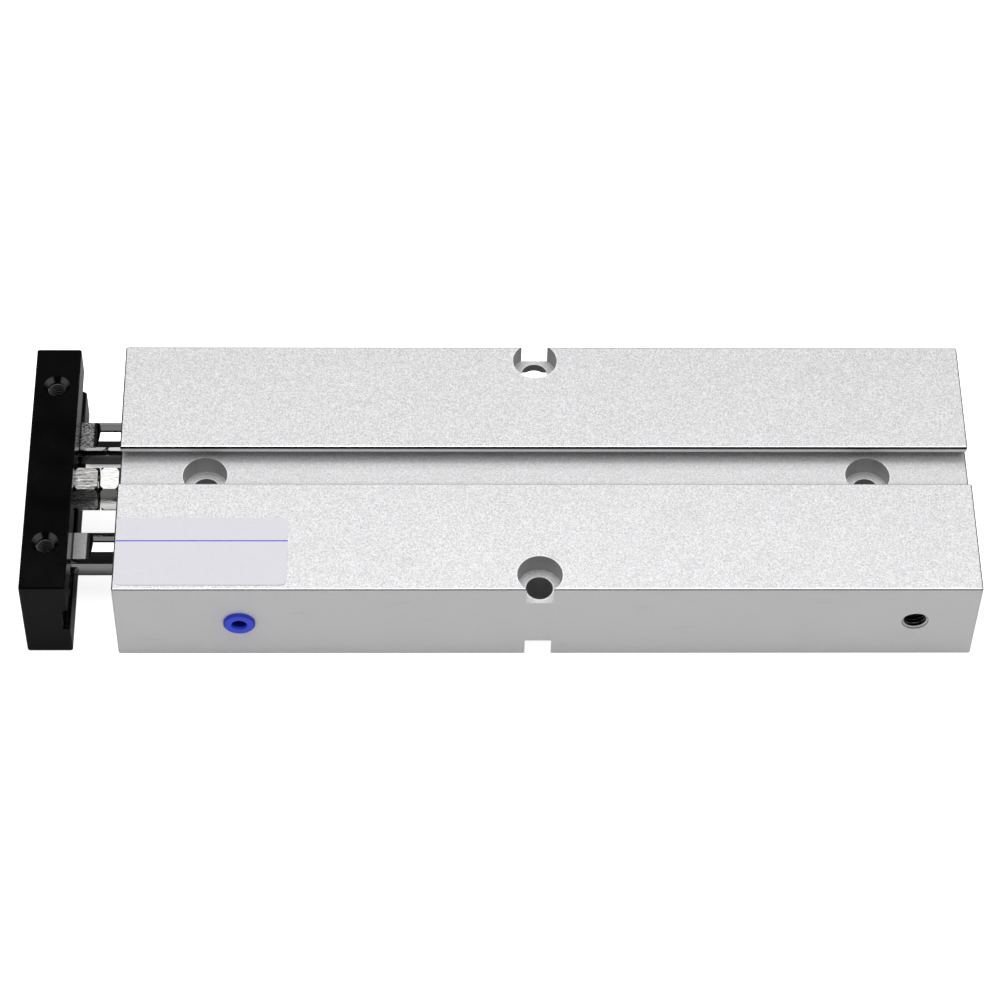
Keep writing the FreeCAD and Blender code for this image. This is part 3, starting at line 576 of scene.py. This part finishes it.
def wind_threads(name, body, finish, mount_name, pitch, turns, sizes):
    """Threads in the holes of one mount, wound from the mouth inwards, as one mesh on its body."""
    mount = MOUNTS[mount_name]
    dims = mount["dims"]
    outward = Vector(mount["axis"])
    spacing = [v / 1000 for key, v in dims.items() if key.startswith("spacing")]
    apart = Vector((0.0, spacing[0] if spacing else 0.0, 0.0))
    radius = dims.get("hole_r_mm", dims.get("r_mm")) / 1000
    low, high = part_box("front_plate" if body == "carriage" else "body")
    face = [(high if way > 0 else low)[axis] for axis, way in enumerate(outward)]
    centre = Vector([f if abs(way) > 0.5 else p for f, way, p in zip(face, outward, mount["pos_m"])])
    first = centre - outward * sizes.mouth - apart / 2
    turned = (-outward).to_track_quat("Z", "Y").to_euler()
    piece = bpy.data.objects.new(name, bpy.data.meshes.new(name))
    bpy.context.scene.collection.objects.link(piece)
    tree = bpy.data.node_groups.get("thread_ridges") or thread_tree()
    values = {"Radius": radius, "Ridge": sizes.ridge, "Pitch": pitch, "Turns": turns,
              "Steps": sizes.steps, "Holes": dims.get("count", 1), "First Hole": first,
              "Next Hole": apart, "Turned": Vector(turned), "Finish": finish}
    wound = piece.modifiers.new("thread_ridges", "NODES")
    wound.node_group = tree
    for socket in tree.interface.items_tree:
        if socket.in_out == "INPUT":
            wound[socket.identifier] = values[socket.name]
    piece.data.materials.append(finish)
    made = bpy.data.meshes.new_from_object(piece.evaluated_get(bpy.context.evaluated_depsgraph_get()))
    if not made.polygons:
        raise RuntimeError(f"{name} came out empty")
    made.name = name
    piece.modifiers.clear()
    piece.data = made
    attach(piece, body)
    return piece


# ---- Operators ----

class CYLINDER_OT_body(bpy.types.Operator):
    """Finish the blasted and anodised body"""
    bl_idname = "cylinder.body"
    bl_label = "Body"

    def execute(self, context):
        scene = context.scene
        dress(nodes_in("clear_anodised"), clear_anodised(scene.cylinder_finishes, scene.cylinder_threads))
        return {"FINISHED"}


class CYLINDER_OT_label(bpy.types.Operator):
    """Finish the bare label with its one blue rule"""
    bl_idname = "cylinder.label"
    bl_label = "Label"

    def execute(self, context):
        dress(nodes_in("label_film"), label_film(context.scene.cylinder_finishes))
        return {"FINISHED"}


class CYLINDER_OT_plug(bpy.types.Operator):
    """Finish the dust plug in the front port"""
    bl_idname = "cylinder.plug"
    bl_label = "Dust plug"

    def execute(self, context):
        dress(nodes_in("blue_plastic"), blue_plastic(context.scene.cylinder_finishes))
        return {"FINISHED"}


class CYLINDER_OT_plate(bpy.types.Operator):
    """Finish the front plate and its two screws"""
    bl_idname = "cylinder.plate"
    bl_label = "Front plate"

    def execute(self, context):
        dress(nodes_in("black_anodised"), black_anodised(context.scene.cylinder_finishes))
        dress(nodes_in("black_steel"), moulded("black_steel", COLOUR_OF["black_steel"], 0.35, 0.0003, 1e-5))
        return {"FINISHED"}


class CYLINDER_OT_rods(bpy.types.Operator):
    """Finish both rods, each with its own cut on the flats"""
    bl_idname = "cylinder.rods"
    bl_label = "Rods"

    def execute(self, context):
        sizes = context.scene.cylinder_finishes
        coarse = chromed_steel("chrome_right", sizes, hatch=0.00027, level=0.46, contrast=0.50)
        fine = chromed_steel("chrome_left", sizes, hatch=0.00014, level=0.66, contrast=0.20)
        dress(["rod_right"], coarse)
        dress(["rod_left"], fine)
        return {"FINISHED"}


class CYLINDER_OT_stop(bpy.types.Operator):
    """Finish the stop bolt, its lock nut and the piston nuts"""
    bl_idname = "cylinder.stop"
    bl_label = "Stop bolt and nuts"

    def execute(self, context):
        sizes, threads = context.scene.cylinder_finishes, context.scene.cylinder_threads
        rough = zinc_steel("zinc_rough", sizes, threads, dull=0.42, streak=0.34, gloss=0.24)
        smooth = zinc_steel("zinc_smooth", sizes, threads, dull=0.70, streak=0.08, gloss=0.12)
        dress(nodes_in("zinc_steel"), rough)
        dress(["stop_bolt"], smooth)
        return {"FINISHED"}


class CYLINDER_OT_ends(bpy.types.Operator):
    """Finish the rod guides, rear covers, pistons, bushes and retaining rings"""
    bl_idname = "cylinder.ends"
    bl_label = "Guides, covers and pistons"

    def execute(self, context):
        for slot, rough, ring, depth in (("plain_aluminium", 0.32, 0.00020, 1e-5),
                                         ("bronze", 0.40, 0.00015, 1e-5),
                                         ("spring_steel", 0.38, 0.00030, 5e-6)):
            dress(nodes_in(slot), turned_metal(slot, COLOUR_OF[slot], 1.0, rough, ring, depth))
        return {"FINISHED"}


class CYLINDER_OT_seals(bpy.types.Operator):
    """Finish the seals, bumpers, wear rings and magnets"""
    bl_idname = "cylinder.seals"
    bl_label = "Seals and bumpers"

    def execute(self, context):
        for slot, rough, grain, depth in (("rubber", 0.55, 0.0003, 1e-5),
                                          ("bumper_rubber", 0.60, 0.0004, 2e-5),
                                          ("wear_plastic", 0.50, 0.0003, 1e-5),
                                          ("magnet_ferrite", 0.65, 0.0002, 1e-5)):
            dress(nodes_in(slot), moulded(slot, COLOUR_OF[slot], rough, grain, depth))
        return {"FINISHED"}


class CYLINDER_OT_port_thread(bpy.types.Operator):
    """Wind the M5 thread in the open port"""
    bl_idname = "cylinder.port_thread"
    bl_label = "Port thread"

    def execute(self, context):
        sizes = context.scene.cylinder_threads
        # Dark grey thread ridges: painted shade, as dark as the port's darkened bore.
        finish = turned_metal("port_thread", (0.22, 0.22, 0.22), metallic=0.9, rough=0.25, ring=0.0008,
                              depth=1e-5)
        deep = MOUNTS["rear_port"]["dims"]["length_mm"] / 1000
        turns = (deep - sizes.mouth) / sizes.port_pitch
        wind_threads("rear_port_thread", "cylinder", finish, "rear_port",
                     sizes.port_pitch, turns, sizes)
        return {"FINISHED"}


class CYLINDER_OT_plate_threads(bpy.types.Operator):
    """Wind the M4 threads in the plate's top and front"""
    bl_idname = "cylinder.plate_threads"
    bl_label = "Plate threads"

    def execute(self, context):
        sizes = context.scene.cylinder_threads
        finish = turned_metal("plate_thread", (0.09, 0.09, 0.09), metallic=0.15, rough=0.30, ring=0.0007,
                              depth=1e-5)
        top_turns, front_turns = 6.0, 8.0
        for name, mount, turns in (("plate_top_threads", "plate_top_taps", top_turns),
                                   ("plate_front_threads", "plate_front_taps", front_turns)):
            wind_threads(name, "carriage", finish, mount, sizes.tap_pitch, turns, sizes)
        return {"FINISHED"}


class CYLINDER_OT_stage(bpy.types.Operator):
    """Set the camera, soft lamp, pale surroundings and floor"""
    bl_idname = "cylinder.stage"
    bl_label = "Stage"

    def execute(self, context):
        sizes = context.scene.cylinder_stage
        self.camera(context, sizes)
        self.lamp(context, sizes)
        self.surroundings(context, sizes)
        self.floor(context, sizes)
        self.screens(context, sizes)
        context.scene.view_settings.view_transform = "Standard"
        return {"FINISHED"}

    def camera(self, context, sizes):
        turn, drop, tilt = sizes.camera_turn, sizes.camera_drop, sizes.camera_tilt
        ahead = Vector((math.sin(turn) * math.cos(drop), math.cos(turn) * math.cos(drop), -math.sin(drop)))
        level = Vector((math.cos(turn), -math.sin(turn), 0.0))
        down = ahead.cross(level)
        right = level * math.cos(tilt) + down * math.sin(tilt)
        up = level * math.sin(tilt) - down * math.cos(tilt)
        data = bpy.data.cameras.new("camera")
        data.sensor_width = 36.0
        data.lens = sizes.lens
        data.clip_start = 0.01
        data.clip_end = 20.0
        camera = bpy.data.objects.new("camera", data)
        axes = Matrix((right, up, -ahead)).transposed().to_4x4()
        camera.matrix_world = Matrix.Translation(sizes.camera_place) @ axes
        context.scene.collection.objects.link(camera)
        context.scene.camera = camera

    def lamp(self, context, sizes):
        data = bpy.data.lights.new("soft_lamp", "AREA")
        data.shape = "RECTANGLE"
        data.size, data.size_y = sizes.lamp_size
        data.energy = sizes.lamp_power
        lamp = bpy.data.objects.new("soft_lamp", data)
        lamp.location = (0.0, sizes.lamp_offset, sizes.lamp_height)
        context.scene.collection.objects.link(lamp)

    def surroundings(self, context, sizes):
        world = bpy.data.worlds.new("surroundings")
        world.use_nodes = True
        sky = world.node_tree.nodes["Background"]
        sky.inputs["Color"].default_value = (sizes.fill, sizes.fill, sizes.fill, 1.0)
        sky.inputs["Strength"].default_value = 1.0
        context.scene.world = world

    def floor(self, context, sizes):
        """A white floor whose rim curves up, see-through from below."""
        curve, steps, count = sizes.wall_height, 12, 96
        outline = [(sizes.floor_radius, 0.0)]
        for step in range(1, steps + 1):
            angle = math.radians(90.0 * step / steps)
            outline.append((sizes.floor_radius + curve * math.sin(angle), curve * (1.0 - math.cos(angle))))
        mesh = bmesh.new()
        rings = []
        for radius, rise in outline:
            rings.append([mesh.verts.new((radius * math.cos(math.tau * k / count),
                                          radius * math.sin(math.tau * k / count),
                                          CAD_BOX[0].z + rise)) for k in range(count)])
        mesh.faces.new(rings[0])
        for inner, outer in zip(rings, rings[1:]):
            for k in range(count):
                mesh.faces.new((inner[k], outer[k], outer[(k + 1) % count], inner[(k + 1) % count]))
        data = bpy.data.meshes.new("floor")
        mesh.to_mesh(data)
        mesh.free()
        data.materials.append(self.paper())
        floor = bpy.data.objects.new("floor", data)
        context.scene.collection.objects.link(floor)

    def screens(self, context, sizes):
        """Dark screens at the front and sides and beside the lamp, which only bright metal shows."""
        near, far, high, low = -sizes.screen_distance, sizes.lamp_height, sizes.screen_height, CAD_BOX[0].z
        side, side_top = sizes.screen_distance * 1.2, sizes.screen_height * 0.6
        inner = sizes.lamp_offset + sizes.lamp_size[1] / 2
        outer = inner + sizes.card_width
        half, card_z = sizes.lamp_size[0] / 2, sizes.lamp_height - 0.02
        quads = [[(-side, near, low), (side, near, low), (side, near, high), (-side, near, high)],
                 [(-half, inner, card_z), (half, inner, card_z), (half, outer, card_z),
                  (-half, outer, card_z)]]
        for x in (-side, side):
            quads.append([(x, near, low), (x, far, low), (x, far, side_top), (x, near, side_top)])
        data = bpy.data.meshes.new("dark_screens")
        data.from_pydata([corner for quad in quads for corner in quad], [],
                         [tuple(range(4 * k, 4 * k + 4)) for k in range(len(quads))])
        cloth = Finish("dark_cloth")
        cloth.set(Base_Color=(0.02, 0.02, 0.02), Roughness=0.9, Specular_IOR_Level=0.0)
        data.materials.append(cloth.material)
        screens = bpy.data.objects.new("dark_screens", data)
        context.scene.collection.objects.link(screens)
        screens.visible_camera = False
        screens.visible_diffuse = False
        screens.visible_shadow = False
        screens.visible_transmission = False

    def paper(self):
        """White paper that keeps shadows: white to the eye and through glass, greyer in metal.

        It lets light up to the faces that lie on it, so that they aren't black from below. Between the plate
        and the body a shadow
        is painted on it: broad and dark as seen in metal, and to the eye as a narrow band at the far rod.
        """
        f = Finish("paper")
        pale, grey_in_metal, dark = (0.85, 0.85, 0.85), (0.34, 0.34, 0.34), (0.05, 0.05, 0.05)
        path = f.node("ShaderNodeLightPath").outputs
        eye, metal = path["Is Camera Ray"], path["Is Glossy Ray"]
        plate, body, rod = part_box("front_plate"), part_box("body"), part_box("rod_right")
        # Painted shadow on the floor between the plate and the body under the far rod, dark as seen in
        # metal.
        shadow_in_metal = f.times(f.band(f.x, plate[1].x - 0.003, body[0].x + 0.003, 0.001),
                        f.band(f.y, rod[0].y + 0.003, rod[1].y + 0.004, 0.001))
        # Painted shadow on the floor as the eye sees it: a narrow band at the far rod, where the white glow
        # drops.
        shadow_to_eye = f.times(f.band(f.x, plate[1].x, body[0].x, 0.001),
                        f.band(f.y, rod[1].y - 0.0018, rod[1].y - 0.0004, 0.0008))
        seen = f.most(eye, path["Is Transmission Ray"])
        glow = f.times(seen, f.span(shadow_to_eye, 0.0, 1.0, 0.84, 0.1))
        away = f.distance(f.x, f.y, 0.0, 0.0)
        mirrored = f.times(metal, f.span(away, 0.12, 0.5, 0.0, 0.12))
        grey = f.between(metal, pale, grey_in_metal)
        grey = f.between(f.times(shadow_in_metal, metal), grey, dark)
        inset, edge = 0.001, 0.0005
        covered = f.most(*(f.times(f.band(f.x, low.x + inset, high.x - inset, edge),
                                   f.band(f.y, low.y + inset, high.y - inset, edge))
                           for low, high in (plate, body)))
        backing = f.node("ShaderNodeNewGeometry").outputs["Backfacing"]
        clear = f.most(backing, f.times(covered, f.other(eye)))
        f.set(Base_Color=grey, Roughness=1.0, Specular_IOR_Level=0.0, Emission_Color=(1.0, 1.0, 1.0, 1.0),
              Emission_Strength=f.plus(glow, mirrored), Alpha=f.other(clear))
        return f.material


OPERATORS = (CYLINDER_OT_body, CYLINDER_OT_label, CYLINDER_OT_plug, CYLINDER_OT_plate, CYLINDER_OT_rods,
             CYLINDER_OT_stop, CYLINDER_OT_ends, CYLINDER_OT_seals, CYLINDER_OT_port_thread,
             CYLINDER_OT_plate_threads, CYLINDER_OT_stage)


class CYLINDER_PT_sidebar(bpy.types.Panel):
    """Sizes, colours and pieces of the cylinder"""
    bl_idname = "CYLINDER_PT_sidebar"
    bl_label = "Twin-Rod Cylinder"
    bl_space_type = "VIEW_3D"
    bl_region_type = "UI"
    bl_category = "Cylinder"

    def draw(self, context):
        for group in GROUPS:
            sizes = getattr(context.scene, group)
            box = self.layout.box()
            box.label(text=sizes.bl_rna.description)
            for name in sizes.__annotations__:
                box.prop(sizes, name)
        for operator in OPERATORS:
            self.layout.operator(operator.bl_idname)


GROUPS = {"cylinder_finishes": CylinderFinishes, "cylinder_threads": CylinderThreads,
          "cylinder_stage": CylinderStage}


def register():
    for made in (*GROUPS.values(), *OPERATORS, CYLINDER_PT_sidebar):
        bpy.utils.register_class(made)
    for name, group in GROUPS.items():
        setattr(bpy.types.Scene, name, PointerProperty(type=group))


def unregister():
    for name in GROUPS:
        delattr(bpy.types.Scene, name)
    for made in reversed((*GROUPS.values(), *OPERATORS, CYLINDER_PT_sidebar)):
        bpy.utils.unregister_class(made)


def main():
    register()
    for operator in OPERATORS:
        family, name = operator.bl_idname.split(".")
        getattr(getattr(bpy.ops, family), name)()


if __name__ == "__main__":
    main()
